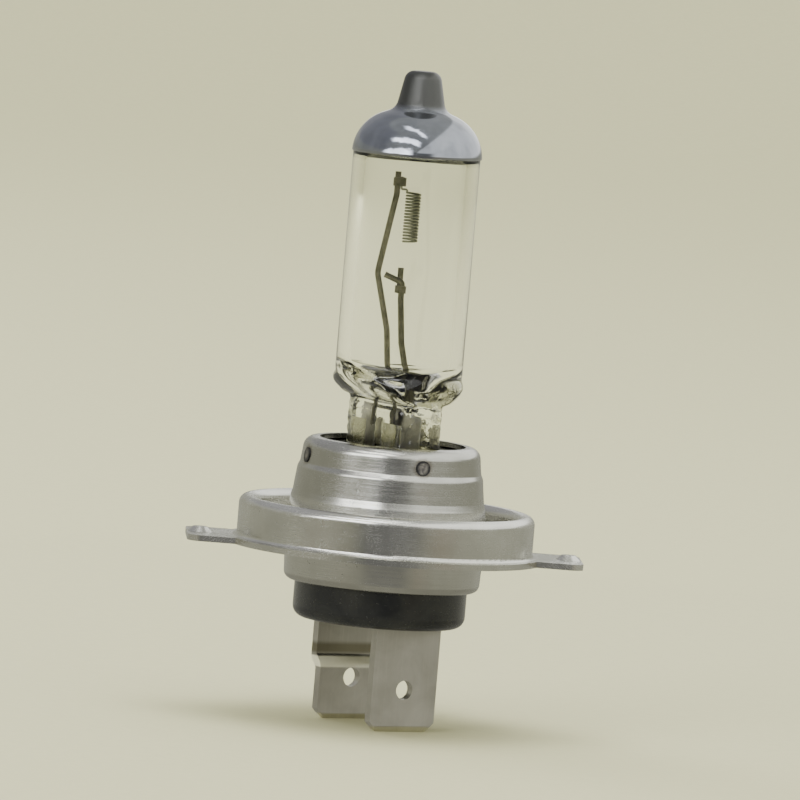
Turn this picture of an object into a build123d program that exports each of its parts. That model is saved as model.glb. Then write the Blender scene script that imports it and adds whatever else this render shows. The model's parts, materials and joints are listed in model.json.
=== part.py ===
"""Single-filament halogen headlight bulb with a ring-type prefocus base.

Millimetres. The origin is the centre of the reference plane, which touches the tops of the three lug
bosses. +Z is the lamp axis, towards the glass tip, and the lugs at the two sides lie along X.
The glass pinch and both terminals are turned about Z, so they are drawn in their own frame, in which
+X points at the near terminal, and are turned into place when they are written.
"""

from build123d import *
import math
import os

# ---------------------------------------------------------------- driving dimensions
FILAMENT_START = 25.0  # reference plane to the near end of the coil, the light centre length
FILAMENT_LENGTH = 4.1
TERMINAL_TURN = -60.0  # degrees from +X to the near terminal
TIP_Z = 39.1  # top of the exhaust tip
BLADE_END_Z = -15.4  # free ends of the terminals

# glass
TUBE_R = 5.3
TUBE_WALL = 1.1
SHOULDER_Z = 14.4  # where the tube starts to close down to the pinch
DOME_SIDE_Z = 34.6  # corner between the tube's side and the dome, before rounding
DOME_TOP_Z = 35.9
TIP_FOOT_R = 1.75  # the exhaust tip narrows upwards
TIP_TOP_R = 1.3
PINCH_WIDTH = 10.2
PINCH_THICKNESS = 3.4
PINCH_BOTTOM_Z = 2.6
COAT_RIM_Z = 32.2  # lower rim of the glare coating
COAT_THICKNESS = 0.12

# wires inside the glass
LEAD_R = 0.25
COIL_WIRE_R = 0.09
COIL_R = 0.57  # to the wire's centre
COIL_FULL_TURNS = 15
FOIL_THICKNESS = 0.05
FOIL_WIDTH = 2.2
FOIL_X = 2.3  # centre of each foil from the lamp axis
FOIL_BOTTOM_Z = 4.6
FOIL_LENGTH = 6.2
INNER_LEAD_X = 1.45  # where a lead leaves the pinch
OUTER_LEAD_X = 2.7
WELD_FILM = 0.05  # weld metal between an outer lead and its terminal's tab

# ring
RING_R = 12.35  # outside of the raised rim
RING_SHEET = 0.5
RING_TOP_Z = 3.0
RING_LIP_R = 13.15
BOSS_HEIGHT = 0.4
BOSS_R = 1.05  # at its foot
BOSS_TOP_R = 0.6
LUG_REACH = 16.5
LUG_WIDTH = 8.0
BACK_LUG_WIDTH = 6.0
BOSS_FROM_AXIS = 15.4

# collar and base shell
COLLAR_SHEET = 0.4
COLLAR_TOP_Z = 8.3
COLLAR_TOP_R = 7.55  # outside, just under its top edge
COLLAR_STEP = 0.14  # how far the top part of the wall is set in
COLLAR_TAPER = 0.12  # growth of the radius for each millimetre down
COLLAR_BEAD = 0.08  # how far the foot of the wall stands out
COLLAR_HOLE_R = 6.1
HOLDER_SHEET = 0.3
SHELL_SHEET = 0.4
SHELL_R = 8.3
SHELL_BOTTOM_Z = -3.7

# insulator and terminals
INSULATOR_R = 7.2
INSULATOR_FLANGE_R = 7.6
INSULATOR_BOTTOM_Z = -6.8
INSULATOR_TOP_Z = -1.7
BLADE_WIDTH = 6.3
BLADE_THICKNESS = 0.8
BLADE_ROOT_THICKNESS = 0.76  # where the blade is moulded into the insulator
BLADE_X = 4.5  # centre of each blade from the lamp axis, where it leaves the insulator
BLADE_HOLE_R = 0.8
BLADE_HOLE_Z = -11.9
JOGGLE_Z = -10.2  # where the far blade starts to step towards the near one
TAB_WIDTH = 3.2
TAB_TOP_Z = 0.6

PLATE_TOP_Z = -BOSS_HEIGHT
RING_FLOOR_Z = 0.9  # middle of the sheet in the ring's channel


# ---------------------------------------------------------------- helpers
def turned_solid(points, radii):
    """A solid of revolution about Z from (radius, z) corners that start and end on the axis."""
    outline = FilletPolyline(*points, radius=radii)
    return revolve(Plane.XZ * make_face([outline, Line(outline @ 1, outline @ 0)]), Axis.Z)


def turned_sheet(points, radii, thickness):
    """Sheet metal of one thickness, turned about Z along the (radius, z) middle line."""
    middle = FilletPolyline(*points, radius=radii)
    return revolve(Plane.XZ * trace(middle, line_width=thickness), Axis.Z)


def wire_along(points, radii, wire_radius):
    """A round wire along straight runs joined by arcs."""
    path = FilletPolyline(*points, radius=radii) if len(points) > 2 else Line(*points)
    return sweep(Plane(path @ 0, z_dir=path % 0) * Circle(wire_radius), path=path)


def upright_cylinder(x, y, low_z, high_z, radius):
    return Pos(x, y, (low_z + high_z) / 2) * Cylinder(radius, high_z - low_z)


def block(x_range, y_range, z_range):
    """A box from its limits along each axis."""
    ranges = (x_range, y_range, z_range)
    centre = [(low + high) / 2 for low, high in ranges]
    return Pos(*centre) * Box(*[high - low for low, high in ranges])


def collar_radius(z):
    """Outside radius of the collar's tapered wall at a height."""
    return COLLAR_TOP_R + COLLAR_TAPER * (COLLAR_TOP_Z - 0.9 - z)


# ---------------------------------------------------------------- glass, coating, filament
LEG_GAP = LEAD_R + COIL_WIRE_R + 0.01  # a leg lies this far from the middle of its lead
LONG_LEAD_TIP = (-0.6, -1.27)
LONG_LEAD_REACH = math.hypot(*LONG_LEAD_TIP)
HIGH_LEG = tuple(c * (1 - LEG_GAP / LONG_LEAD_REACH) for c in LONG_LEAD_TIP)
HIGH_ANGLE = math.atan2(HIGH_LEG[1], HIGH_LEG[0])
LOW_ANGLE = math.radians(-114)  # where the lower leg leaves the coil
LOW_LEG = (-0.05, -0.6)
SHORT_LEAD_BEND = (0.3, -0.6)


def dome_outline(skin=0.0):
    """Corners and roundings of the dome and the tip, grown outwards by a skin."""
    corners = [
        (TUBE_R + skin, DOME_SIDE_Z + skin * 0.7),
        (TIP_FOOT_R + skin, DOME_TOP_Z + skin),
        (TIP_TOP_R + skin, TIP_Z + skin),
        (0, TIP_Z + skin),
    ]
    return corners, [3.6 + skin, 1.2 - skin, 0.7 + skin]


def glass_outside():
    """The tube and the pinched slab below it, as two solids."""
    corners, radii = dome_outline()
    bottom_z = SHOULDER_Z - 2.6
    tube = turned_solid(
        [(0, bottom_z), (2.6, bottom_z), (TUBE_R, SHOULDER_Z - 0.9), *corners], [1.4, 1.3, *radii]
    )
    half_width, half_thickness = PINCH_WIDTH / 2, PINCH_THICKNESS / 2
    slab = block(
        (-half_width, half_width), (-half_thickness, half_thickness), (PINCH_BOTTOM_Z, SHOULDER_Z)
    )
    slab = fillet(slab.edges().filter_by(Axis.Z), 0.9)
    return tube, slab


def make_glass_envelope(embedded):
    """Quartz tube, pressed flat at the foot round the foils and leads."""
    tube, slab = glass_outside()
    cavity_r = TUBE_R - TUBE_WALL
    floor_z, roof_z = SHOULDER_Z - 1.6, DOME_TOP_Z - 1.5
    cavity = turned_solid(
        [(0, floor_z), (2.4, floor_z), (cavity_r, SHOULDER_Z), (cavity_r, roof_z - 0.8), (0, roof_z)],
        [1.2, 1.0, 2.6],
    )
    pocket_depth = 0.35
    pocket = fillet(Box(6.6, 2 * pocket_depth, 6.0).edges().filter_by(Axis.Y), 0.8)
    glass = tube + slab - cavity
    for side in (-1, 1):
        glass -= Pos(0, side * PINCH_THICKNESS / 2, 8.4) * pocket
    for piece in embedded:
        glass -= piece
    return glass


def make_glare_coating():
    """Dark coating on the dome and the exhaust tip."""
    tube, _ = glass_outside()
    corners, radii = dome_outline(COAT_THICKNESS)
    start_z = SHOULDER_Z + 5
    grown = turned_solid([(0, start_z), (TUBE_R + COAT_THICKNESS, start_z), *corners], [0, *radii])
    above_rim = block((-9, 9), (-9, 9), (COAT_RIM_Z, TIP_Z + 2))
    return (grown & above_rim) - tube


def make_filament_coil():
    """Tungsten coil on the lamp axis, with a leg at each end that is held by a lead."""
    turns = COIL_FULL_TURNS + ((HIGH_ANGLE - LOW_ANGLE) % math.tau) / math.tau
    top_z = FILAMENT_START + FILAMENT_LENGTH
    helix = Helix(FILAMENT_LENGTH / turns, FILAMENT_LENGTH, COIL_R)
    coil = sweep(Plane(helix @ 0, z_dir=helix % 0) * Circle(COIL_WIRE_R), path=helix, is_frenet=True)
    coil = Pos(0, 0, FILAMENT_START) * Rot(0, 0, math.degrees(LOW_ANGLE)) * coil
    low_end = (COIL_R * math.cos(LOW_ANGLE), COIL_R * math.sin(LOW_ANGLE))
    high_end = (COIL_R * math.cos(HIGH_ANGLE), COIL_R * math.sin(HIGH_ANGLE))
    lower_leg = wire_along(
        [(*low_end, FILAMENT_START), (*low_end, FILAMENT_START - 0.8), (*LOW_LEG, 23.2), (*LOW_LEG, 21.2)],
        [0.5, 0.5],
        COIL_WIRE_R,
    )
    upper_leg = wire_along(
        [(*high_end, top_z), (*high_end, top_z + 0.25), (*HIGH_LEG, top_z + 0.25), (*HIGH_LEG, 30.4)],
        [0.14, 0.14],
        COIL_WIRE_R,
    )
    ends = [(*low_end, FILAMENT_START), (*high_end, top_z)]
    elbows = [Pos(*end) * Sphere(COIL_WIRE_R) for end in ends]
    return coil + lower_leg + upper_leg + elbows


LEAD_Y = -(LEAD_R + FOIL_THICKNESS / 2)  # a lead in the pinch lies on its foil
LEAD_LOW_Z = FOIL_BOTTOM_Z + FOIL_LENGTH - 1.3


def make_long_lead():
    """Support wire that passes the coil and holds its upper leg."""
    start = (-INNER_LEAD_X, LEAD_Y)
    return wire_along(
        [
            (*start, LEAD_LOW_Z), (*start, 14.4), (-1.3, -0.7, 17.4), (-1.35, -2.05, 22.2),
            (*LONG_LEAD_TIP, 28.9), (*LONG_LEAD_TIP, 30.8),
        ],
        [1.2, 1.6, 1.6, 1.2],
        LEAD_R,
    )


def make_short_lead():
    """Support wire that ends under the coil in a sideways hook, and holds its lower leg."""
    start = (INNER_LEAD_X, LEAD_Y)
    return wire_along(
        [
            (*start, LEAD_LOW_Z), (*start, 14.2), (1.1, -0.7, 16.6), (*SHORT_LEAD_BEND, 20.2),
            (*SHORT_LEAD_BEND, 21.6), (-0.6, -1.75, 22.15),
        ],
        [1.0, 1.2, 0.8, 0.3],
        LEAD_R,
    )


def make_leg_clamp(lead_at, leg_at, z_range, sleeve_top, lead, coil):
    """Crimp round a lead and the coil leg beside it, drawn out to a sleeve that follows the leg."""
    low_z, high_z = z_range
    middle = [(a + b) / 2 for a, b in zip(lead_at, leg_at)]
    turn = math.degrees(math.atan2(lead_at[1] - leg_at[1], lead_at[0] - leg_at[0]))
    crimp = Rot(0, 0, turn) * SlotCenterToCenter(LEG_GAP * 0.9, 2 * (LEAD_R + 0.13))
    sleeve = upright_cylinder(*leg_at, low_z, sleeve_top, 0.24)
    return Pos(*middle, low_z) * extrude(crimp, high_z - low_z) + sleeve - lead - coil


def make_seal_foil(side):
    """Molybdenum foil that carries the current through the pinch."""
    half_width, half_thickness = FOIL_WIDTH / 2, FOIL_THICKNESS / 2
    x = side * FOIL_X
    return block(
        (x - half_width, x + half_width),
        (-half_thickness, half_thickness),
        (FOIL_BOTTOM_Z, FOIL_BOTTOM_Z + FOIL_LENGTH),
    )


def make_outer_lead(side):
    """Wire from a foil out of the pinch to the inside of its terminal's tab."""
    x, y = side * OUTER_LEAD_X, -LEAD_Y
    tab_x = side * (BLADE_X - BLADE_ROOT_THICKNESS / 2 - LEAD_R - WELD_FILM)
    return wire_along(
        [(x, y, FOIL_BOTTOM_Z + 1.3), (x, y, 1.9), (tab_x, y, 0.5), (tab_x, y, -1.1)],
        [0.8, 0.6],
        LEAD_R,
    )


# ---------------------------------------------------------------- metal base
def make_pinch_holder():
    """Cup inside the collar. Its slot and four spring tongues grip the pinch."""
    plate_z = 7.6
    skirt_gap = COLLAR_SHEET + COLLAR_STEP + HOLDER_SHEET / 2 + 0.01
    cup = turned_sheet(
        [(0, plate_z), (collar_radius(plate_z) - skirt_gap, plate_z), (collar_radius(4.4) - skirt_gap, 4.4)],
        [0.5],
        HOLDER_SHEET,
    )
    slot_x, slot_y = PINCH_WIDTH / 2 + 0.2, PINCH_THICKNESS / 2 + 0.15
    cup -= block((-slot_x, slot_x), (-slot_y - HOLDER_SHEET, slot_y + HOLDER_SHEET), (6.5, 8.5))
    for x in (-2.6, 2.6):
        for side in (-1, 1):
            foot = side * (slot_y + HOLDER_SHEET + 0.6)
            face = side * (PINCH_THICKNESS / 2 + 0.01 + HOLDER_SHEET / 2)
            tongue = Plane.YZ * trace(
                FilletPolyline((foot, plate_z), (face, plate_z), (face, 10.0), radius=0.25),
                line_width=HOLDER_SHEET,
            )
            cup += Pos(x, 0, 0) * extrude(tongue, 1.2, both=True)
    return cup


def make_collar():
    """Tapered upper sleeve with a rolled top edge, a shallow bead and a foot in the ring's channel."""
    half = COLLAR_SHEET / 2
    foot_z = RING_FLOOR_Z + RING_SHEET / 2 + half

    def middle_at(z, out=0.0):
        return (collar_radius(z) - half + out, z)

    return turned_sheet(
        [
            (9.5, foot_z), middle_at(foot_z, COLLAR_BEAD), middle_at(3.2, COLLAR_BEAD), middle_at(3.8),
            middle_at(5.7), middle_at(6.1, -COLLAR_STEP), middle_at(COLLAR_TOP_Z - half, -COLLAR_STEP),
            (COLLAR_HOLE_R, COLLAR_TOP_Z - half),
        ],
        [0.5, 0.5, 0.5, 0.4, 0.4, 0.75],
        COLLAR_SHEET,
    )


def make_reference_ring():
    """Stamped locating ring: rim, channel, and a plate with three lugs, each with a raised boss."""
    half = RING_SHEET / 2
    plate_z = PLATE_TOP_Z - half
    rim_out, rim_in = RING_R - half, RING_R - half - 0.95
    ring = turned_sheet(
        [
            (RING_LIP_R, plate_z), (rim_out, plate_z), (rim_out, RING_TOP_Z - half),
            (rim_in, RING_TOP_Z - half), (rim_in, RING_FLOOR_Z), (SHELL_R + 0.15, RING_FLOOR_Z),
        ],
        [0.6, 0.46, 0.46, 0.4],
        RING_SHEET,
    )
    bore = upright_cylinder(0, 0, -3, 3, RING_R - 0.01)
    for angle, width in ((0, LUG_WIDTH), (90, BACK_LUG_WIDTH), (180, LUG_WIDTH)):
        lug = block((RING_R - 1, LUG_REACH), (-width / 2, width / 2), (plate_z - half, plate_z + half))
        lug = fillet(lug.edges().filter_by(Axis.Z).sort_by(Axis.X)[-2:], 1.1) - bore
        boss = Pos(BOSS_FROM_AXIS, 0, PLATE_TOP_Z - 0.01) * Cone(
            BOSS_R, BOSS_TOP_R, BOSS_HEIGHT + 0.01, align=(Align.CENTER, Align.CENTER, Align.MIN)
        )
        dimple = Pos(BOSS_FROM_AXIS, 0, plate_z - half - 0.5) * Sphere(0.8)
        ring += Rot(0, 0, angle) * (lug + boss - dimple)
    return ring


def make_base_shell():
    """Lower cup that is welded under the ring and crimped round the insulator."""
    half = SHELL_SHEET / 2
    top_z = RING_FLOOR_Z - RING_SHEET / 2 - half
    wall_r = SHELL_R - half
    return turned_sheet(
        [
            (10.1, top_z), (wall_r + 0.05, top_z), (wall_r - 0.15, SHELL_BOTTOM_Z + half),
            (INSULATOR_R + 0.02, SHELL_BOTTOM_Z + half),
        ],
        [0.5, 0.45],
        SHELL_SHEET,
    )


WELD_TURN = -72.0  # degrees from +X to the first weld on the collar
COLLAR_WELD_Z = 6.85


def make_collar_weld_spots():
    """Four weld nuggets that join the collar to the holder inside it."""
    def skin(out, low_z, high_z):
        low_r, high_r = (collar_radius(z) - COLLAR_STEP + out for z in (low_z, high_z))
        return turned_solid([(0, low_z), (low_r, low_z), (high_r, high_z), (0, high_z)], 0)

    proud = skin(0.07, 5.4, 7.6) - skin(0.005, 5.0, 8.0)
    spots = []
    for index in range(4):
        rod = Pos(7.5, 0, COLLAR_WELD_Z) * Rot(0, 90, 0) * Cylinder(0.62, 3)
        spots.append(proud & (Rot(0, 0, WELD_TURN + 90 * index) * rod))
    return Compound(children=[s.solid() for s in spots])


def make_ring_weld_spots():
    """Four weld nuggets on the collar's foot, in the ring's channel."""
    top = RING_FLOOR_Z + RING_SHEET / 2 + COLLAR_SHEET
    spots = []
    for index in range(4):
        lens = Pos(9.1, 0, top) * Cone(0.4, 0.25, 0.09, align=(Align.CENTER, Align.CENTER, Align.MIN))
        spots.append(Rot(0, 0, WELD_TURN + 45 + 90 * index) * lens)
    return Compound(children=spots)


# ---------------------------------------------------------------- insulator and terminals
def make_terminal(side):
    """Blade with a detent hole, and above it a thinner root with barbs and a tab for its lead.

    The far blade steps inwards.
    """
    half_w = BLADE_WIDTH / 2
    x = side * BLADE_X
    step = BLADE_THICKNESS if side < 0 else 0
    tip_x = x + step
    root_z = INSULATOR_BOTTOM_Z - 0.02
    middle = Line((x, root_z), (x, BLADE_END_Z))
    if step:
        corners = [(x, root_z), (x, JOGGLE_Z), (tip_x, JOGGLE_Z - step), (tip_x, BLADE_END_Z)]
        middle = FilletPolyline(*corners, radius=0.5)
    blade = extrude(Plane.XZ * trace(middle, line_width=BLADE_THICKNESS), half_w, both=True)
    blade = chamfer(blade.edges().filter_by(Axis.X).group_by(Axis.Z)[0], 0.8)
    blade = chamfer(blade.edges().filter_by(Axis.Y).group_by(Axis.Z)[0], 0.5, 0.2)
    blade -= Pos(tip_x, 0, BLADE_HOLE_Z) * Rot(0, 90, 0) * Cylinder(BLADE_HOLE_R, 2)
    across = (x - BLADE_ROOT_THICKNESS / 2, x + BLADE_ROOT_THICKNESS / 2)
    root = block(across, (-half_w, half_w), (root_z, INSULATOR_TOP_Z))
    tab = block(across, (-TAB_WIDTH / 2, TAB_WIDTH / 2), (INSULATOR_TOP_Z, TAB_TOP_Z))
    barb = block(across, (-half_w - 0.35, half_w + 0.35), (-4.4, -3.2))
    return blade + root + tab + barb


def make_insulator(terminals):
    """Moulded disc that holds both terminals. Its flange is trapped by the shell's crimp."""
    ledge_z = SHELL_BOTTOM_Z + SHELL_SHEET
    body = turned_solid(
        [
            (0, INSULATOR_TOP_Z), (INSULATOR_FLANGE_R, INSULATOR_TOP_Z), (INSULATOR_FLANGE_R, ledge_z),
            (INSULATOR_R, ledge_z), (INSULATOR_R, INSULATOR_BOTTOM_Z), (0, INSULATOR_BOTTOM_Z),
        ],
        [0.3, 0.18, 0.05, 0.95],
    )
    well = block((-2.6, 2.6), (-3.6, 3.6), (INSULATOR_TOP_Z - 1.6, INSULATOR_TOP_Z))
    body -= fillet(well.edges().filter_by(Axis.Z), 0.6)
    for side in (-1, 1):
        body -= Pos(0, side * 5.6, INSULATOR_BOTTOM_Z) * Box(2.6, 1.2, 1.6)
    for terminal in terminals:
        body -= terminal
    return body


def make_terminal_weld(side, terminal, lead):
    """Weld bead that joins an outer lead to its terminal's tab."""
    depth = WELD_FILM + 2 * LEAD_R + 0.12
    x = side * (BLADE_X - BLADE_ROOT_THICKNESS / 2 - depth / 2)
    bead = Pos(x, -LEAD_Y, -0.45) * Rot(0, 90, 0) * Cylinder(0.62, depth)
    return fillet(bead.edges(), 0.18) - terminal - lead


# ---------------------------------------------------------------- assembly
def build():
    """Every sub-part by name, in place."""
    sides = {"near": 1, "far": -1}
    coil, long_lead, short_lead = make_filament_coil(), make_long_lead(), make_short_lead()
    foils = {name: make_seal_foil(side) for name, side in sides.items()}
    outer_leads = {name: make_outer_lead(side) for name, side in sides.items()}
    terminals = {name: make_terminal(side) for name, side in sides.items()}
    embedded = [long_lead, short_lead, *foils.values(), *outer_leads.values()]

    turned = {
        "glass_envelope": make_glass_envelope(embedded),
        "filament_coil": coil,
        "long_lead": long_lead,
        "short_lead": short_lead,
        "upper_leg_clamp": make_leg_clamp(LONG_LEAD_TIP, HIGH_LEG, (29.6, 30.3), 30.35, long_lead, coil),
        "lower_leg_clamp": make_leg_clamp(SHORT_LEAD_BEND, LOW_LEG, (20.7, 21.3), 22.8, short_lead, coil),
        "pinch_holder": make_pinch_holder(),
        "insulator": make_insulator(terminals.values()),
    }
    for name, side in sides.items():
        turned[f"seal_foil_{name}"] = foils[name]
        turned[f"outer_lead_{name}"] = outer_leads[name]
        turned[f"terminal_{name}"] = terminals[name]
        turned[f"terminal_weld_{name}"] = make_terminal_weld(side, terminals[name], outer_leads[name])

    parts = {name: Rot(0, 0, TERMINAL_TURN) * solid for name, solid in turned.items()}
    parts["glare_coating"] = make_glare_coating()
    parts["collar"] = make_collar()
    parts["reference_ring"] = make_reference_ring()
    parts["base_shell"] = make_base_shell()
    parts["collar_weld_spots"] = make_collar_weld_spots()
    parts["ring_weld_spots"] = make_ring_weld_spots()
    return parts


os.makedirs("parts", exist_ok=True)
for node, shape in build().items():
    export_step(shape, f"parts/{node}.step")
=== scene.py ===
import json
import math

import bpy
from mathutils import Matrix, Vector, noise


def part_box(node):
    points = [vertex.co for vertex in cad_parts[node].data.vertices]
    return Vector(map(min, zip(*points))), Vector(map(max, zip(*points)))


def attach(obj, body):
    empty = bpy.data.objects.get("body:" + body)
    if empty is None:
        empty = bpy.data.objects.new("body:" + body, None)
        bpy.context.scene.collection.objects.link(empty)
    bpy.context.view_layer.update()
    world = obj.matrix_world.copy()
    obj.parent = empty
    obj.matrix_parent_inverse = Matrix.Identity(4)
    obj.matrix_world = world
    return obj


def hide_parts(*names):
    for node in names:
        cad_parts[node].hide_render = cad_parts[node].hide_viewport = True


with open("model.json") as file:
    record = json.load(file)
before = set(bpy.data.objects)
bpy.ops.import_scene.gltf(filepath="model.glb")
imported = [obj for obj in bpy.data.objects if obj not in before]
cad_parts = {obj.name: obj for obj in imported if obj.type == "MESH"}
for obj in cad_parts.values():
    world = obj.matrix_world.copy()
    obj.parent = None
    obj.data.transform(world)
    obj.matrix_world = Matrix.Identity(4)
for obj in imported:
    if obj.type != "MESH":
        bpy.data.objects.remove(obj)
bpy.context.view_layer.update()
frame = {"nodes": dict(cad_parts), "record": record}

MM = 0.001  # a millimetre in metres
UM = 0.000001  # a micrometre in metres
TURN = math.radians(-60.0)  # the pinch and the blades are turned about the lamp axis
WELD_BEARING = -72.0  # degrees from +X to the first weld on the collar

# sizes and heights in metres
FLOOR_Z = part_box("terminal_near")[0].z
RING_TOP_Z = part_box("reference_ring")[1].z

# sizes and heights in millimetres, as are all those of the glass and the blades below
glass_low, glass_high = (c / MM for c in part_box("glass_envelope"))
coat_low, coat_high = (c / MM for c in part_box("glare_coating"))
TUBE_R = (glass_high.x - glass_low.x) / 2
TIP_Z = glass_high.z
PINCH_LOW_Z = glass_low.z
COAT_RIM_Z = coat_low.z
COAT = coat_high.z - TIP_Z  # thickness of the enamel
WALL = 1.1  # thickness of the tube
SHOULDER_Z = 14.4  # where the tube starts to close down to the pinch
SLAB_WIDE, SLAB_THICK = 5.1, 1.7  # half width and half thickness of the pinch
PAD_WIDE, PAD_LOW_Z, PAD_TOP_Z = 4.2, 5.2, 11.6  # half width, foot and top of its raised pads
PAD_RISE = 0.34
DOME_LOW_Z, DOME_TOP_Z = 34.6, 35.9  # corners of the dome before they are rounded
TIP_FOOT_R, TIP_TOP_R = 1.95, 1.3  # radii of the exhaust tip at its two ends
DOME_ROUND, TIP_FOOT_ROUND, TIP_TOP_ROUND = 3.6, 1.2, 0.7  # radii of the three rounded corners
ROOF_LOW_Z, ROOF_TOP_Z = 33.6, 34.4  # edge and middle of the gas space's roof
STEP_LOW_Z, STEP_HIGH_Z = -11.15, -10.15  # bends of the far blade


# ------------------------------------------------------------------ shader helpers
class Shader:
    """A material with a Principled shader and short ways to add nodes."""

    def __init__(self, name, **constants):
        self.material = bpy.data.materials.new(name)
        self.material.use_nodes = True
        self.tree = self.material.node_tree
        self.bsdf = next(n for n in self.tree.nodes if n.type == "BSDF_PRINCIPLED")
        self.place = self.tree.nodes.new("ShaderNodeTexCoord").outputs["Object"]
        for socket, value in constants.items():
            self.bsdf.inputs[socket.replace("_", " ")].default_value = value

    def feed(self, socket, value):
        if hasattr(value, "is_output"):
            self.tree.links.new(value, socket)
        else:
            socket.default_value = value

    def math(self, operation, a, b=0.0):
        node = self.tree.nodes.new("ShaderNodeMath")
        node.operation = operation
        self.feed(node.inputs[0], a)
        self.feed(node.inputs[1], b)
        return node.outputs[0]

    def split(self, vector=None):
        node = self.tree.nodes.new("ShaderNodeSeparateXYZ")
        self.feed(node.inputs[0], vector or self.place)
        return node.outputs

    def join(self, x, y, z):
        node = self.tree.nodes.new("ShaderNodeCombineXYZ")
        for socket, value in zip(node.inputs, (x, y, z)):
            self.feed(socket, value)
        return node.outputs[0]

    def turned(self, angle, vector=None):
        """Object coordinates, or another vector, turned about Z."""
        node = self.tree.nodes.new("ShaderNodeVectorRotate")
        node.rotation_type = "Z_AXIS"
        self.feed(node.inputs["Vector"], vector or self.place)
        node.inputs["Angle"].default_value = angle
        return node.outputs[0]

    def round_the_axis(self, lines, drift):
        """Coordinates for marks that run round the lamp axis: fine across them, slow along them."""
        x, y, z = self.split()
        squares = self.math("ADD", self.math("MULTIPLY", x, x), self.math("MULTIPLY", y, y))
        radius = self.math("SQRT", squares)
        return self.join(
            self.math("MULTIPLY", self.math("DIVIDE", x, radius), drift),
            self.math("MULTIPLY", self.math("DIVIDE", y, radius), drift),
            self.math("MULTIPLY", self.math("ADD", z, self.math("MULTIPLY", radius, 0.7)), lines),
        )

    def stretched(self, scale, vector=None):
        """Coordinates with a scale of their own along each axis."""
        node = self.tree.nodes.new("ShaderNodeVectorMath")
        node.operation = "MULTIPLY"
        self.feed(node.inputs[0], vector or self.place)
        node.inputs[1].default_value = scale
        return node.outputs[0]

    def noise(self, scale, detail=3.0, roughness=0.5, vector=None, warp=0.0):
        """Fractal noise, round 0.5. On object coordinates, scale is in cells for each metre."""
        node = self.tree.nodes.new("ShaderNodeTexNoise")
        self.feed(node.inputs["Vector"], vector or self.place)
        node.inputs["Scale"].default_value = scale
        node.inputs["Detail"].default_value = detail
        node.inputs["Roughness"].default_value = roughness
        node.inputs["Distortion"].default_value = warp
        return node.outputs["Fac"]

    def spread(self, value, low, high, to_low=0.0, to_high=1.0, smooth=False):
        """A value from low to high mapped to the range from to_low to to_high, and clamped."""
        node = self.tree.nodes.new("ShaderNodeMapRange")
        node.interpolation_type = "SMOOTHSTEP" if smooth else "LINEAR"
        self.feed(node.inputs["Value"], value)
        limits = {"From Min": low, "From Max": high, "To Min": to_low, "To Max": to_high}
        for socket, number in limits.items():
            node.inputs[socket].default_value = number
        return node.outputs["Result"]

    def mix(self, factor, a, b):
        node = self.tree.nodes.new("ShaderNodeMix")
        node.data_type = "RGBA"
        self.feed(node.inputs["Factor"], factor)
        for socket, colour in (("A", a), ("B", b)):
            target = next(i for i in node.inputs if i.name == socket and i.type == "RGBA")
            self.feed(target, colour if hasattr(colour, "is_output") else (*colour, 1.0))
        return next(o for o in node.outputs if o.type == "RGBA")

    def unit(self):
        """Direction from the origin, as a vector of length 1."""
        node = self.tree.nodes.new("ShaderNodeVectorMath")
        node.operation = "NORMALIZE"
        self.feed(node.inputs[0], self.place)
        return node.outputs[0]

    def angle_from(self, bearing):
        """Signed angle round Z from a bearing given in degrees."""
        x, y, _ = self.split(self.turned(math.radians(-bearing)))
        return self.math("ARCTAN2", y, x)

    def from_weld(self):
        """Distance to the middle of the nearest weld on the collar, uneven like the weld itself."""
        low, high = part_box("collar_weld_spots")
        quarter = math.pi / 2
        turns = self.math("ADD", self.math("DIVIDE", self.angle_from(WELD_BEARING), quarter), 0.5)
        across = self.math("SUBTRACT", self.math("FRACT", turns), 0.5)
        across = self.math("MULTIPLY", across, quarter * high.x)
        along = self.math("SUBTRACT", self.split()[2], (low.z + high.z) / 2)
        squares = self.math("ADD", self.math("POWER", across, 2.0), self.math("POWER", along, 2.0))
        uneven = self.spread(self.noise(1300, 2, 0.5), 0.3, 0.7, -0.12 * MM, 0.12 * MM)
        return self.math("ADD", self.math("SQRT", squares), uneven)

    def set(self, socket, value):
        self.feed(self.bsdf.inputs[socket], value)

    def bump(self, *layers):
        """Bump layers, each (height, strength, depth in micrometres)."""
        normal = None
        for height, strength, depth in layers:
            node = self.tree.nodes.new("ShaderNodeBump")
            node.inputs["Strength"].default_value = strength
            node.inputs["Distance"].default_value = depth * UM
            self.feed(node.inputs["Height"], height)
            if normal:
                self.feed(node.inputs["Normal"], normal)
            normal = node.outputs[0]
        self.set("Normal", normal)


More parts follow.
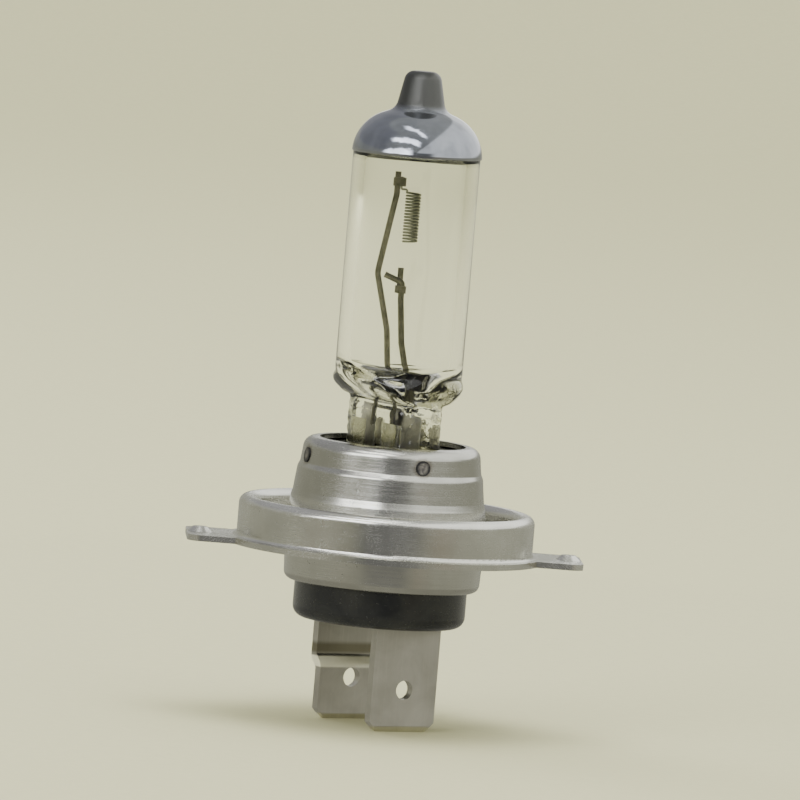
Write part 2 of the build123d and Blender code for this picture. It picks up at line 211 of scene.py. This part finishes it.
# ------------------------------------------------------------------ materials
def steel():
    """Drawn sheet: fine rings from the tool, soft clouds, small pits, heat round welds, painted
    shade on the collar.
    """
    tone, shade = (0.66, 0.655, 0.60), (0.54, 0.535, 0.48)
    s = Shader("base_steel", Metallic=1.0)
    clouds = s.noise(170, 4, 0.6, warp=0.4)
    rings = s.noise(1.0, 2, 0.6, s.round_the_axis(26000, 2.2))
    wide_rings = s.noise(1.0, 2, 0.5, s.round_the_axis(3800, 1.1))
    pits = s.noise(2600, 2, 0.7)
    colour = s.mix(s.spread(clouds, 0.35, 0.68), shade, tone)
    colour = s.mix(s.spread(pits, 0.66, 0.78, 0, 0.35), colour, tuple(c * 0.55 for c in shade))
    z = s.split()[2]
    # painted shade: above the ring, the collar's steel is mixed towards a darker tone so that it
    # reflects less brightly
    on_collar = s.spread(z, RING_TOP_Z + 0.1 * MM, RING_TOP_Z + 0.5 * MM, 0.0, 0.6)
    colour = s.mix(on_collar, colour, tuple(c * 0.62 for c in shade))
    heated = s.spread(s.from_weld(), 0.6 * MM, 1.0 * MM, 0.65, 0.0, smooth=True)
    colour = s.mix(heated, colour, (0.17, 0.15, 0.12))
    s.set("Base Color", colour)
    worn = s.spread(clouds, 0.3, 0.7, 0.17, 0.29)
    worn = s.math("ADD", worn, s.spread(rings, 0.3, 0.7, -0.04, 0.05))
    s.set("Roughness", s.math("ADD", worn, s.spread(pits, 0.6, 0.8, 0, 0.12)))
    s.bump((rings, 0.16, 12), (wide_rings, 0.22, 30), (pits, 0.12, 10))
    return s.material


def quartz():
    """Clear fused quartz, glossy in the tube and rippled where the press closed the foot."""
    s = Shader("quartz_glass", IOR=1.458, Transmission_Weight=1.0)
    z = s.split()[2]

    def below_shoulder(full, none):
        """1 further below the shoulder than full, and 0 nearer to it than none."""
        low, high = (SHOULDER_Z - full) * MM, (SHOULDER_Z - none) * MM
        return s.spread(z, low, high, 1.0, 0.0, smooth=True)

    foot = below_shoulder(2.4, 1.0)
    haze = below_shoulder(3.4, 1.6)
    ripples = s.noise(620, 3, 0.6, warp=1.2)
    seeds = s.noise(2100, 1, 0.5)
    s.set("Base Color", s.mix(haze, (0.985, 0.99, 0.985), (0.95, 0.965, 0.94)))
    s.set("Roughness", s.math("MULTIPLY", haze, s.spread(ripples, 0.4, 0.7, 0.01, 0.07)))
    height = s.math("MULTIPLY", foot, s.math("ADD", ripples, s.math("MULTIPLY", seeds, 0.25)))
    s.bump((height, 0.35, 250))
    return s.material


def glare_coat():
    """Blue-grey enamel, smooth on the dome and dull on the tip, with faint runs and a thin edge."""
    s = Shader("glare_coat", Metallic=0.95, IOR=1.6, Coat_Weight=0.15, Coat_Roughness=0.06)
    z = s.split()[2]
    runs = s.noise(1.0, 3, 0.5, s.stretched((420, 420, 190)))
    grain = s.noise(5200, 2, 0.6)
    colour = s.mix(s.spread(runs, 0.35, 0.7), (0.20, 0.213, 0.245), (0.27, 0.285, 0.315))
    tip = s.spread(z, (TIP_Z - 3.4) * MM, (TIP_Z - 2.6) * MM, smooth=True)
    colour = s.mix(tip, colour, (0.07, 0.071, 0.067))
    rim = s.spread(z, COAT_RIM_Z * MM, (COAT_RIM_Z + 0.5) * MM, 1.0, 0.0, smooth=True)
    s.set("Base Color", s.mix(s.math("MULTIPLY", rim, 0.6), colour, (0.42, 0.42, 0.42)))
    gloss = s.math("ADD", s.spread(runs, 0.3, 0.7, 0.05, 0.11), s.spread(grain, 0.4, 0.7, 0, 0.04))
    s.set("Roughness", s.math("ADD", gloss, s.math("MULTIPLY", tip, 0.36)))
    s.bump((runs, 0.12, 100), (grain, 0.05, 10))
    return s.material


def wire_metal(name, tone, shade, rough):
    """Drawn wire with fine lines along it and uneven patches."""
    s = Shader(name, Metallic=1.0)
    drawn = s.noise(1.0, 3, 0.6, s.stretched((9000, 9000, 700)))
    patches = s.noise(1500, 3, 0.6)
    s.set("Base Color", s.mix(s.spread(patches, 0.35, 0.7), shade, tone))
    s.set("Roughness", s.math("ADD", s.spread(drawn, 0.3, 0.7, -0.06, 0.06), rough))
    s.bump((drawn, 0.3, 10), (patches, 0.25, 20))
    return s.material


def foil_metal():
    """Etched molybdenum foil with a lilac sheen and fine crumples."""
    s = Shader("seal_foil", Metallic=1.0)
    crumple = s.noise(1.0, 4, 0.6, s.stretched((1800, 1800, 800)), warp=0.6)
    s.set("Base Color", s.mix(s.spread(crumple, 0.3, 0.7), (0.40, 0.39, 0.47), (0.66, 0.65, 0.69)))
    s.set("Roughness", s.spread(crumple, 0.3, 0.7, 0.28, 0.45))
    s.bump((crumple, 0.5, 40))
    return s.material


def tin_plate():
    """Dull tin on the blades, rubbed along their length, with painted shade above the far blade's
    bend and a pale painted highlight on the bend.
    """
    s = Shader("terminal_tin")
    blade_axes = s.turned(-TURN)
    rubbed = s.noise(1.0, 3, 0.65, s.stretched((3600, 3600, 130), blade_axes))
    clouds = s.noise(320, 4, 0.6, warp=0.5)
    spangle = s.noise(2400, 2, 0.7)
    colour = s.mix(s.spread(clouds, 0.3, 0.7), (0.50, 0.485, 0.42), (0.64, 0.62, 0.54))
    colour = s.mix(s.spread(rubbed, 0.58, 0.75, 0, 0.45), colour, (0.70, 0.67, 0.59))
    x, _, z = s.split(blade_axes)
    far = s.math("LESS_THAN", x, 0.0)

    def stretch(low, high, soft):
        """1 between two heights on the far blade, fading to 0 inside them."""
        up = s.spread(z, low * MM, (low + soft) * MM, smooth=True)
        down = s.spread(z, (high - soft) * MM, high * MM, 1.0, 0.0, smooth=True)
        return s.math("MULTIPLY", s.math("MULTIPLY", up, down), far)

    # painted shade: a dark band on the far blade just above its bend
    painted_shade_above_step = stretch(STEP_HIGH_Z - 0.1, STEP_HIGH_Z + 1.3, 0.5)
    colour = s.mix(painted_shade_above_step, colour, (0.30, 0.28, 0.20))
    # painted highlight: a pale, less metallic band on the far blade's bend that catches the lamps'
    # light
    on_step = stretch(STEP_LOW_Z, STEP_HIGH_Z, 0.15)
    painted_highlight_on_step = s.math("MULTIPLY", on_step, s.spread(clouds, 0.3, 0.7, 0.65, 0.9))
    s.set("Base Color", s.mix(painted_highlight_on_step, colour, (0.90, 0.89, 0.77)))
    s.set("Metallic", s.math("SUBTRACT", 1.0, painted_highlight_on_step))
    dull = s.spread(clouds, 0.3, 0.7, 0.36, 0.5)
    s.set("Roughness", s.math("ADD", dull, s.spread(rubbed, 0.3, 0.7, 0.05, -0.07)))
    s.bump((rubbed, 0.18, 15), (spangle, 0.2, 10))
    return s.material


def black_moulding():
    """Half glossy black insulator with faint flow marks and dust."""
    s = Shader("insulator_black", IOR=1.45, Coat_Weight=0.15, Coat_Roughness=0.08)
    flow = s.noise(260, 4, 0.55, warp=1.0)
    dust = s.noise(4200, 2, 0.7)
    colour = s.mix(s.spread(flow, 0.35, 0.7), (0.012, 0.013, 0.018), (0.028, 0.029, 0.034))
    s.set("Base Color", s.mix(s.spread(dust, 0.68, 0.8, 0, 0.3), colour, (0.16, 0.15, 0.13)))
    gloss = s.spread(flow, 0.3, 0.7, 0.16, 0.27)
    s.set("Roughness", s.math("ADD", gloss, s.spread(dust, 0.6, 0.8, 0, 0.2)))
    s.bump((flow, 0.15, 60), (dust, 0.12, 12))
    return s.material


def weld_metal():
    """Melted spots. Those on the collar are burnt dark round their edge."""
    s = Shader("weld_metal", Metallic=1.0)
    melt = s.noise(1900, 4, 0.65, warp=1.0)
    colour = s.mix(s.spread(melt, 0.35, 0.6), (0.10, 0.095, 0.10), (0.33, 0.31, 0.27))
    colour = s.mix(s.spread(melt, 0.58, 0.72), colour, (0.58, 0.55, 0.47))
    on_collar = s.math("GREATER_THAN", s.split()[2], RING_TOP_Z)
    burnt = s.math("MULTIPLY", s.spread(s.from_weld(), 0.22 * MM, 0.5 * MM), on_collar)
    s.set("Base Color", s.mix(burnt, colour, (0.04, 0.04, 0.042)))
    s.set("Roughness", s.spread(melt, 0.3, 0.7, 0.3, 0.5))
    s.bump((melt, 0.7, 60))
    return s.material


MATERIALS = {
    "base_steel": steel(),
    "quartz_glass": quartz(),
    "glare_coat": glare_coat(),
    "lead_wire": wire_metal("lead_wire", (0.13, 0.125, 0.10), (0.06, 0.06, 0.045), 0.4),
    "tungsten": wire_metal("tungsten", (0.27, 0.28, 0.24), (0.17, 0.18, 0.15), 0.42),
    "seal_foil": foil_metal(),
    "terminal_tin": tin_plate(),
    "insulator_black": black_moulding(),
    "weld_metal": weld_metal(),
}


# ------------------------------------------------------------------ mesh helpers
def object_from(name, verts, faces, material, smooth=True):
    """An object in the scene from vertices in metres and faces."""
    mesh = bpy.data.meshes.new(name)
    mesh.from_pydata(verts, [], faces)
    mesh.validate()
    mesh.polygons.foreach_set("use_smooth", [smooth] * len(mesh.polygons))
    mesh.materials.append(material)
    mesh.update()
    made = bpy.data.objects.new(name, mesh)
    bpy.context.scene.collection.objects.link(made)
    return made


def piece_from(name, verts, faces, slot, nodes):
    """A mesh in millimetres made into a piece that stands for CAD nodes."""
    piece = object_from(name, [Vector(v) * MM for v in verts], faces, MATERIALS[slot])
    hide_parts(*nodes)
    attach(piece, "root")


def circle(radius, z, count):
    """Points round the lamp axis."""
    turns = [math.tau * k / count for k in range(count)]
    return [Vector((radius * math.cos(a), radius * math.sin(a), z)) for a in turns]


def loft(rings):
    """Vertices and faces of a skin through rings of equal length.

    A ring of one point closes an end.
    """
    verts, faces, starts = [], [], []
    for ring in rings:
        starts.append((len(verts), len(ring)))
        verts.extend(ring)
    for (a, n), (b, m) in zip(starts, starts[1:]):
        count = max(n, m)
        for i in range(count):
            j = (i + 1) % count
            corners = [a + i % n, a + j % n, b + j % m, b + i % m]
            faces.append(tuple(dict.fromkeys(corners)))
    return verts, faces


def rounded(corners, radii, step=0.12):
    """Points along a 2-D line through corners, each inner corner rounded by an arc."""
    points = [Vector(corners[0])]
    for before, corner, after, radius in zip(corners, corners[1:], corners[2:], radii):
        corner = Vector(corner)
        a, b = (Vector(before) - corner).normalized(), (Vector(after) - corner).normalized()
        half = a.angle(b) / 2
        reach = radius / math.tan(half)
        centre = corner + (a + b).normalized() * radius / math.sin(half)
        start, end = corner + a * reach - centre, corner + b * reach - centre
        sweep = start.angle_signed(end)
        count = max(3, int(abs(sweep) * radius / step))
        for k in range(count + 1):
            angle = -sweep * k / count
            points.append(centre + Matrix.Rotation(angle, 2) @ start)
    points.append(Vector(corners[-1]))
    return points


def subdivided(points, step):
    """The same line with no run longer than step."""
    out = [points[0]]
    for a, b in zip(points, points[1:]):
        count = max(1, math.ceil((b - a).length / step))
        out += [a.lerp(b, k / count) for k in range(1, count + 1)]
    return out


def smoothstep(value, low, high):
    """From 0 at low to 1 at high, level at both ends."""
    t = min(1.0, max(0.0, (value - low) / (high - low)))
    return t * t * (3 - 2 * t)


# ------------------------------------------------------------------ glass
SIDES = 144  # points round the glass
FINE = 0.16  # longest run along its outline


def section(z, wide, thick, power, ripple=0.0):
    """A ring that is round at power 2 and a flat slab with rounded corners at a high power.

    Ripple, from 0 to 1, adds the creases and the raised pads that the press leaves.
    """
    ring = []
    for k in range(SIDES):
        t = math.tau * k / SIDES
        c, s = math.cos(t), math.sin(t)
        x = wide * math.copysign(abs(c) ** (2 / power), c)
        y = thick * math.copysign(abs(s) ** (2 / power), s)
        if ripple:
            pad = smoothstep(PAD_WIDE - abs(x), 0, 0.7)
            pad *= smoothstep(PAD_TOP_Z - z, 0, 0.6) * smoothstep(z - PAD_LOW_Z, 0, 0.8)
            calm = 1 - pad * 0.75
            wave = noise.noise(Vector((x * 1.1, math.copysign(4, y), z * 0.9)))
            fine = noise.noise(Vector((x * 2.7 + 9, math.copysign(7, y), z * 2.3)))
            rise = abs(ripple * (0.2 * wave + 0.1 * fine) * calm - PAD_RISE * ripple * pad)
            y += math.copysign(rise, y)
            x += ripple * 0.12 * noise.noise(Vector((math.copysign(6, x), y, z * 1.7)))
        ring.append(Matrix.Rotation(TURN, 3, "Z") @ Vector((x, y, z)))
    return ring


def dome_line(skin, start_z, step):
    """Radius and height along the dome and the exhaust tip, grown outwards by a skin."""
    corners = [
        (TUBE_R + skin, start_z),
        (TUBE_R + skin, DOME_LOW_Z + skin * 0.7),
        (TIP_FOOT_R + skin, DOME_TOP_Z + skin),
        (TIP_TOP_R + skin, TIP_Z + skin),
        (0.0, TIP_Z + skin),
    ]
    radii = [DOME_ROUND + skin, TIP_FOOT_ROUND - skin, TIP_TOP_ROUND + skin]
    return rounded(corners, radii, step)


def outer_rings():
    """The outer skin, from the pinch's foot up to the tip."""
    bevel = 0.25  # height of the rounded edge at the pinch's foot
    levels = [PINCH_LOW_Z, PINCH_LOW_Z + bevel]
    while levels[-1] < SHOULDER_Z + 1.0:
        levels.append(levels[-1] + FINE)
    rings = [[Vector((0, 0, PINCH_LOW_Z))]]
    for z in levels:
        rise = z - SHOULDER_Z
        bulge = math.sqrt(1 - (1 - min(1, max(0, (rise + 2.6) / 2.5))) ** 2)
        share = 0.45 * smoothstep(rise, -2.6, -0.1) + 0.55 * bulge
        thick = SLAB_THICK + (TUBE_R - SLAB_THICK) * share
        wide = SLAB_WIDE + (TUBE_R - SLAB_WIDE) * smoothstep(rise, -2.8, -0.8)
        foot = 0.18 * (1 - smoothstep(z, PINCH_LOW_Z, PINCH_LOW_Z + bevel))
        power = 2 + 5.0 * (1 - smoothstep(rise, -2.8, -0.3))
        ripple = 1 - smoothstep(rise, -3.0, -0.9)
        rings.append(section(z, wide - foot, thick - foot, power, ripple))
    rings += [section(z, TUBE_R, TUBE_R, 2) for z in (16.5, 18.0, 21.0, 24.0, 27.0, 30.0)]
    rings += [section(p.y, p.x, p.x, 2) for p in dome_line(0.0, 20.0, FINE)[1:-1]]
    return rings + [[Vector((0, 0, TIP_Z))]]


def cavity_rings():
    """The gas space, from its floor over the pinch up to its roof under the dome."""
    inner_r = TUBE_R - WALL
    floor = SHOULDER_Z - 1.6
    corners = [
        (0.0, floor - 0.1),
        (2.2, floor),
        (inner_r, SHOULDER_Z + 0.1),
        (inner_r, ROOF_LOW_Z),
        (0.0, ROOF_TOP_Z),
    ]
    line = rounded(corners, [1.2, 1.2, 2.6], FINE)
    rings = [[Vector((0, 0, line[0].y))]]
    for p in line[1:-1]:
        squeeze = 0.74 + 0.26 * smoothstep(p.y, floor, floor + 2.2)
        rings.append(section(p.y, p.x, p.x * squeeze, 2))
    return rings + [[Vector((0, 0, line[-1].y))]]


def make_glass():
    """One closed skin outside and one, turned inwards, round the gas space."""
    verts, faces = loft(outer_rings())
    inner_verts, inner_faces = loft(cavity_rings())
    start = len(verts)
    verts += inner_verts
    faces += [tuple(i + start for i in reversed(f)) for f in inner_faces]
    piece_from("quartz_envelope", verts, faces, "quartz_glass", ["glass_envelope"])


def make_coat():
    """Enamel over the dome and tip, with a thin rim that wanders up and down."""
    gap = 0.01  # between the enamel and the glass
    skin, under = (
        [p for p in subdivided(dome_line(grown, 30.0, 0.12), 0.3) if p.y > COAT_RIM_Z + 0.05]
        for grown in (COAT, gap)
    )

    def ring(p, wander=0.0):
        points = []
        for k in range(SIDES):
            t = math.tau * k / SIDES
            lift = wander * noise.noise(Vector((math.cos(t) * 1.6, math.sin(t) * 1.6, 3)))
            points.append(Vector((p.x * math.cos(t), p.x * math.sin(t), p.y + lift)))
        return points

    rim = [
        ring(Vector((TUBE_R + out, COAT_RIM_Z + up)), 0.05)
        for out, up in ((gap, 0.06), (COAT * 0.75, 0.06), (COAT, 0.14))
    ]
    rings = [[Vector((0, 0, under[-1].y))]] + [ring(p) for p in reversed(under[:-1])]
    rings += rim + [ring(p) for p in skin[2:-1]] + [[Vector((0, 0, skin[-1].y))]]
    verts, faces = loft(rings)
    piece_from("glare_enamel", verts, faces, "glare_coat", ["glare_coating"])


make_glass()
make_coat()

# ------------------------------------------------------------------ carried-over CAD nodes
SLOT_OF = {entry["node"]: entry["material_slot"] for entry in frame["record"]["subparts"]}
for node, cad in frame["nodes"].items():
    cad.data.materials.clear()
    cad.data.materials.append(MATERIALS[SLOT_OF[node]])


# ------------------------------------------------------------------ stage, lights, camera
def make_stage():
    """Pale round sweep: a flat floor that curves up into a wall all the way round."""
    floor_r, wall_r, wall_top, curve = 1.6, 1.9, 1.6, 0.9
    line = rounded([(0.001, FLOOR_Z), (floor_r, FLOOR_Z), (wall_r, wall_top)], [curve], 0.03)
    verts, faces = loft([[Vector((0, 0, FLOOR_Z))]] + [circle(p.x, p.y, 96) for p in line[1:]])
    s = Shader("sweep_paper", Roughness=0.75)
    fibre = s.noise(900, 3, 0.6)
    paler = s.spread(fibre, 0.3, 0.7)
    s.set("Base Color", s.mix(paler, (0.585, 0.578, 0.372), (0.61, 0.602, 0.39)))
    s.bump((fibre, 0.1, 50))
    sweep = object_from("sweep", verts, faces, s.material)


def soft_box(name, place, aim, size, power, colour=(1, 1, 1)):
    """A soft light aimed at a point. Reflections and light bent in the glass don't see it."""
    light = bpy.data.lights.new(name, "AREA")
    light.shape = "RECTANGLE"
    light.size, light.size_y = size
    light.energy = power
    light.color = colour
    lamp = bpy.data.objects.new(name, light)
    lamp.location = place
    lamp.rotation_euler = (Vector(aim) - Vector(place)).to_track_quat("-Z", "Y").to_euler()
    lamp.visible_glossy = False
    lamp.visible_transmission = False
    bpy.context.scene.collection.objects.link(lamp)


def make_lights():
    """A wide soft box overhead, two weaker ones on the left, one on the far floor, and the room."""
    middle = (0, 0, 0.01)
    soft_box("overhead", (0.0, -0.05, 0.75), middle, (0.7, 0.7), 8.0, (1.0, 0.99, 0.95))
    soft_box("left_front", (-0.42, -0.5, 0.3), middle, (0.3, 0.4), 2.4, (1.0, 0.98, 0.92))
    soft_box("back_left", (-0.5, 0.5, 0.3), middle, (0.3, 0.5), 2.4)
    soft_box("far_floor", (0.0, 1.15, 0.8), (0.0, 1.2, 0.0), (1.5, 0.8), 7.0, (1.0, 1.0, 0.96))
    world = bpy.data.worlds.new("studio")
    world.use_nodes = True
    background = world.node_tree.nodes["Background"]
    background.inputs["Color"].default_value = (0.96, 0.955, 0.88, 1)
    background.inputs["Strength"].default_value = 0.9
    bpy.context.scene.world = world


SURROUND_R = 0.15  # metres
VIEW_BEARING = -93.0  # degrees from +X to the camera

# In degrees: bearing from the camera, with right positive, half width, soft edge, lowest and
# highest rise. Then colour and share.
PANELS = [
    (-105, 45, 35, -30, 14, (0.50, 0.50, 0.41), 0.9),
    (-46, 14, 12, -30, 10, (0.48, 0.47, 0.39), 0.8),
    (4, 15, 16, -30, 24, (0.18, 0.18, 0.19), 0.95),
    (46, 7, 9, -30, 14, (0.44, 0.39, 0.32), 0.8),
    (105, 40, 30, -30, 14, (0.53, 0.53, 0.44), 0.9),
    (-120, 50, 30, 25, 60, (0.45, 0.45, 0.5), 0.8),
]
# Middle, half width and soft edge across the view, on a unit sphere. In degrees: lowest and
# highest angle up from the camera, and fall towards the right. Then brightness.
STREAKS = [
    (-0.48, 0.24, 0.16, 23, 34, 10, 8.5),
    (-0.25, 0.24, 0.12, 49, 58, 24, 9.0),
    (-0.03, 0.14, 0.10, 71, 77, 58, 7.0),
]


def glowing(name):
    """A surface that only gives off light."""
    return Shader(
        name,
        Base_Color=(0, 0, 0, 1),
        Roughness=1.0,
        Specular_IOR_Level=0.0,
        Emission_Strength=1.0,
    )


def surround_tones():
    """Panels and soft boxes round the lamp, by bearing and rise, with a dim mat underneath."""
    s = glowing("surround")
    direction = s.unit()
    height = s.split(direction)[2]
    clouds = s.noise(2.3, 3, 0.55, direction)
    tone = s.mix(s.spread(height, 0.0, 0.75), (0.40, 0.40, 0.33), (0.80, 0.81, 0.78))
    right, away, _ = s.split(s.turned(math.radians(-90 - VIEW_BEARING), direction))
    nearer = s.math("MULTIPLY", away, -1.0)

    def between(value, low, high, soft):
        """1 between two limits, fading to 0 outside them."""
        up = s.spread(value, low - soft, low, smooth=True)
        return s.math("MULTIPLY", up, s.spread(value, high, high + soft, 1.0, 0.0, smooth=True))

    # a bright wall on the right, cut off by a slanting edge and by a low sill
    slant = 0.863
    edge = s.math("SUBTRACT", right, s.math("MULTIPLY", height, slant))
    over_sill = s.spread(height, 0.22, 0.26, smooth=True)
    wall = s.math("MULTIPLY", s.spread(edge, -0.39, -0.36), over_sill)
    tone = s.mix(wall, tone, (2.1, 2.12, 2.05))

    for bearing, half_width, soft, low, high, colour, share in PANELS:
        low, high = (math.sin(math.radians(a)) for a in (low, high))
        angle = s.angle_from(VIEW_BEARING + bearing)
        half_width, soft = math.radians(half_width), math.radians(soft)
        sector = between(angle, -half_width, half_width, soft)
        mask = s.math("MULTIPLY", between(height, low, high, 0.05), sector)
        tone = s.mix(s.math("MULTIPLY", mask, share), tone, colour)

    rise = s.math("ARCTAN2", height, nearer)
    wobble = s.spread(s.noise(7, 2, 0.5, direction), 0.3, 0.7, -0.06, 0.06)
    for middle, half_width, soft, low, high, fall, brightness in STREAKS:
        low, high, fall = (math.radians(a) for a in (low, high, fall))
        drop = s.math("MULTIPLY", s.math("SUBTRACT", right, middle), fall)
        level = s.math("ADD", s.math("ADD", rise, drop), wobble)
        band = between(level, low, high, 0.06)
        across = between(right, middle - half_width, middle + half_width, soft)
        colour = tuple(brightness * c for c in (1.0, 1.01, 1.03))
        tone = s.mix(s.math("MULTIPLY", band, across), tone, colour)

    tone = s.mix(s.spread(height, -0.12, -0.3), tone, (0.34, 0.335, 0.28))
    tone = s.mix(s.spread(clouds, 0.45, 0.62, 0, 0.22), tone, (0.2, 0.2, 0.18))
    s.set("Emission Color", tone)
    return s.material


def hide_from(stage_object, *kinds):
    """Leaves an object out of some kinds of ray."""
    for kind in kinds:
        setattr(stage_object, "visible_" + kind, False)


def make_surround():
    """A shell round the lamp that only reflections see. It gives the metal its highlights."""
    low = FLOOR_Z + 0.4 * MM
    start, end = math.asin(low / SURROUND_R), math.pi / 2 - 0.001
    steps = 32
    rings = [[Vector((0, 0, low))]]
    for k in range(steps + 1):
        rise = start + (end - start) * k / steps
        rings.append(circle(SURROUND_R * math.cos(rise), SURROUND_R * math.sin(rise), 96))
    verts, faces = loft(rings)
    shell = object_from("surround", verts, faces, surround_tones(), smooth=False)
    hide_from(shell, "camera", "diffuse", "transmission", "shadow", "volume_scatter")


def make_dark_canopy():
    """A dark lid high over the lamp that only light bent in the glass can reach."""
    radius, height = 0.34, 0.42
    rings = [circle(radius * k / 4, height, 48) for k in range(1, 5)]
    verts, faces = loft([[Vector((0, 0, height))]] + rings)
    s = glowing("dark_canopy")
    s.set("Emission Color", s.mix(s.noise(6, 2), (0.012, 0.014, 0.04), (0.03, 0.035, 0.07)))
    lid = object_from("dark_canopy", verts, faces, s.material, smooth=False)
    hide_from(lid, "camera", "diffuse", "glossy", "shadow", "volume_scatter")


def make_camera():
    """A little above level, just left of the front, far back, and leaning: the lamp tips right."""
    bearing, rise, lean = (math.radians(a) for a in (VIEW_BEARING, 4.5, 4.8))
    distance, frame_size, sensor = 0.9, 0.0665, 36
    target = Vector((0.0003, 0.0, 0.0118))
    flat = math.cos(rise)
    out = Vector((flat * math.cos(bearing), flat * math.sin(bearing), math.sin(rise)))
    level = Vector((0, 0, 1)).cross(out).normalized()
    up = out.cross(level)
    right = level * math.cos(lean) + up * math.sin(lean)
    data = bpy.data.cameras.new("camera")
    data.sensor_width = sensor
    data.lens = sensor * distance / frame_size
    data.clip_start = 0.01
    camera = bpy.data.objects.new("camera", data)
    basis = Matrix((right, out.cross(right), out)).transposed().to_4x4()
    camera.matrix_world = Matrix.Translation(target + out * distance) @ basis
    bpy.context.scene.collection.objects.link(camera)
    bpy.context.scene.camera = camera


make_stage()
make_surround()
make_dark_canopy()
make_lights()
make_camera()
